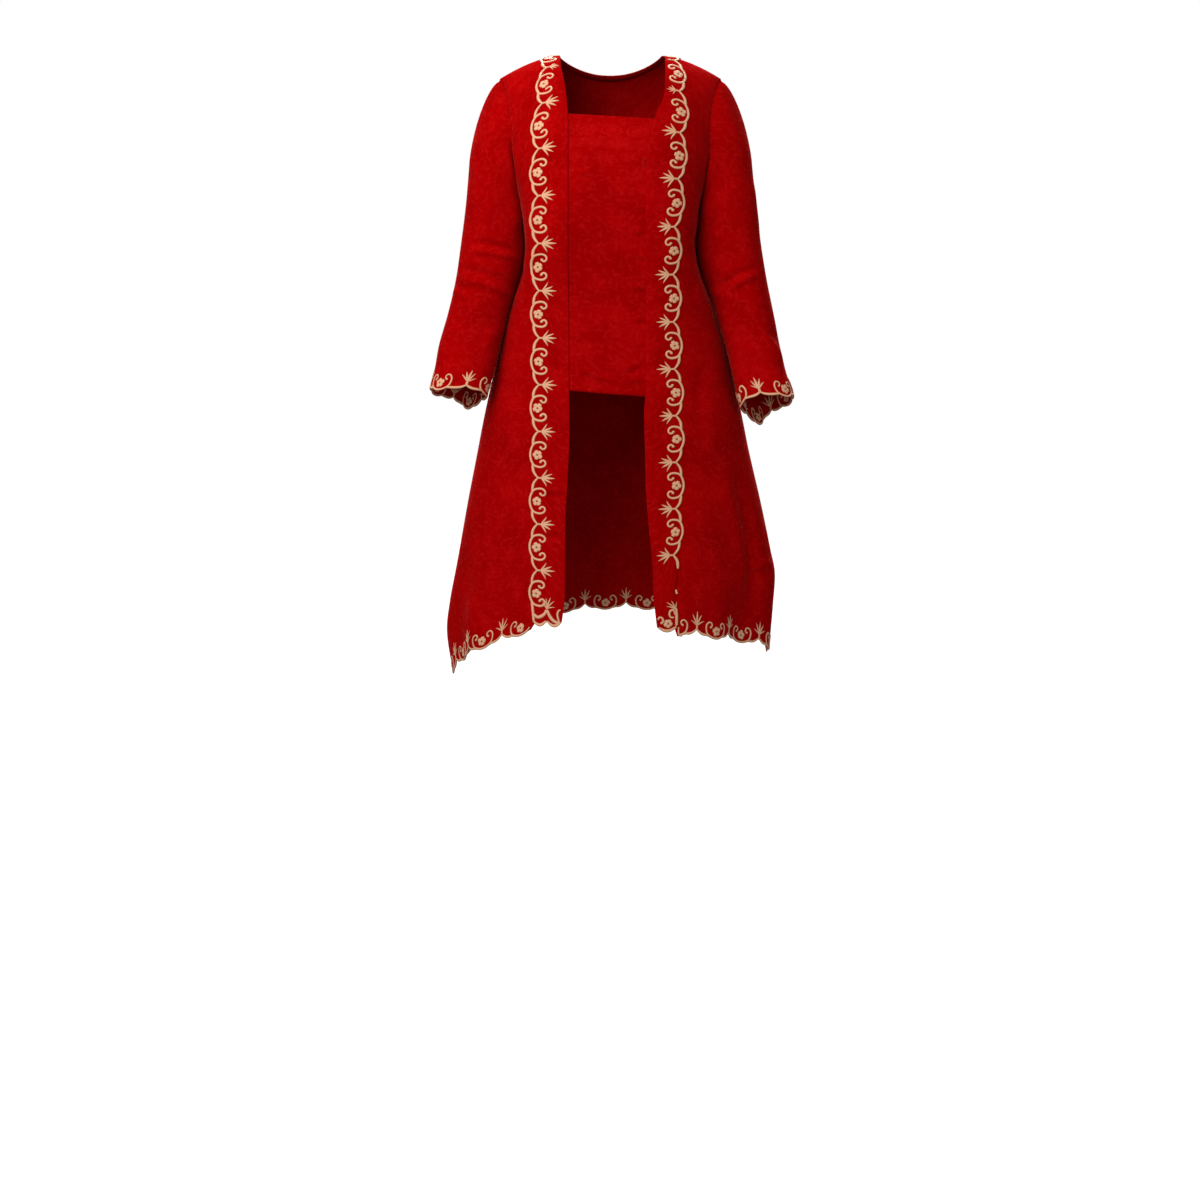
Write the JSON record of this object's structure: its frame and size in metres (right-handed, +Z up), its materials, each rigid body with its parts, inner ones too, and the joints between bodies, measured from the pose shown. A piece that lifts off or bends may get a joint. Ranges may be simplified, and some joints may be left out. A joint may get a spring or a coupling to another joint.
{
  "type": "kebaya blouse",
  "caption": "Long kutubaru kebaya blouse in worn shape: free fronts joined by a chest panel, long sleeves, scalloped embroidered edges.",
  "frame": {"origin": "middle of the neck at the height of the shoulder line, where the wearer's shoulders carry the garment", "axes": "+Z up along the body, the front faces -Y, +X is the wearer's left"},
  "size_m": [0.5179, 0.3196, 0.8853],
  "materials": {
    "red_jacquard": "red satin jacquard with gold edge embroidery",
    "gold_thread": "pale gold satin stitch",
    "red_thread": "twisted red thread"
  },
  "bodies": {
    "root": {"back": "red_jacquard", "front_right": "red_jacquard", "front_left": "red_jacquard", "band_right": "red_jacquard", "band_left": "red_jacquard", "neck_band": "red_jacquard", "centre_panel": "red_jacquard", "sleeve_right": "red_jacquard", "sleeve_left": "red_jacquard", "fastening_loop": "red_thread"}
  },
  "joints": []
}
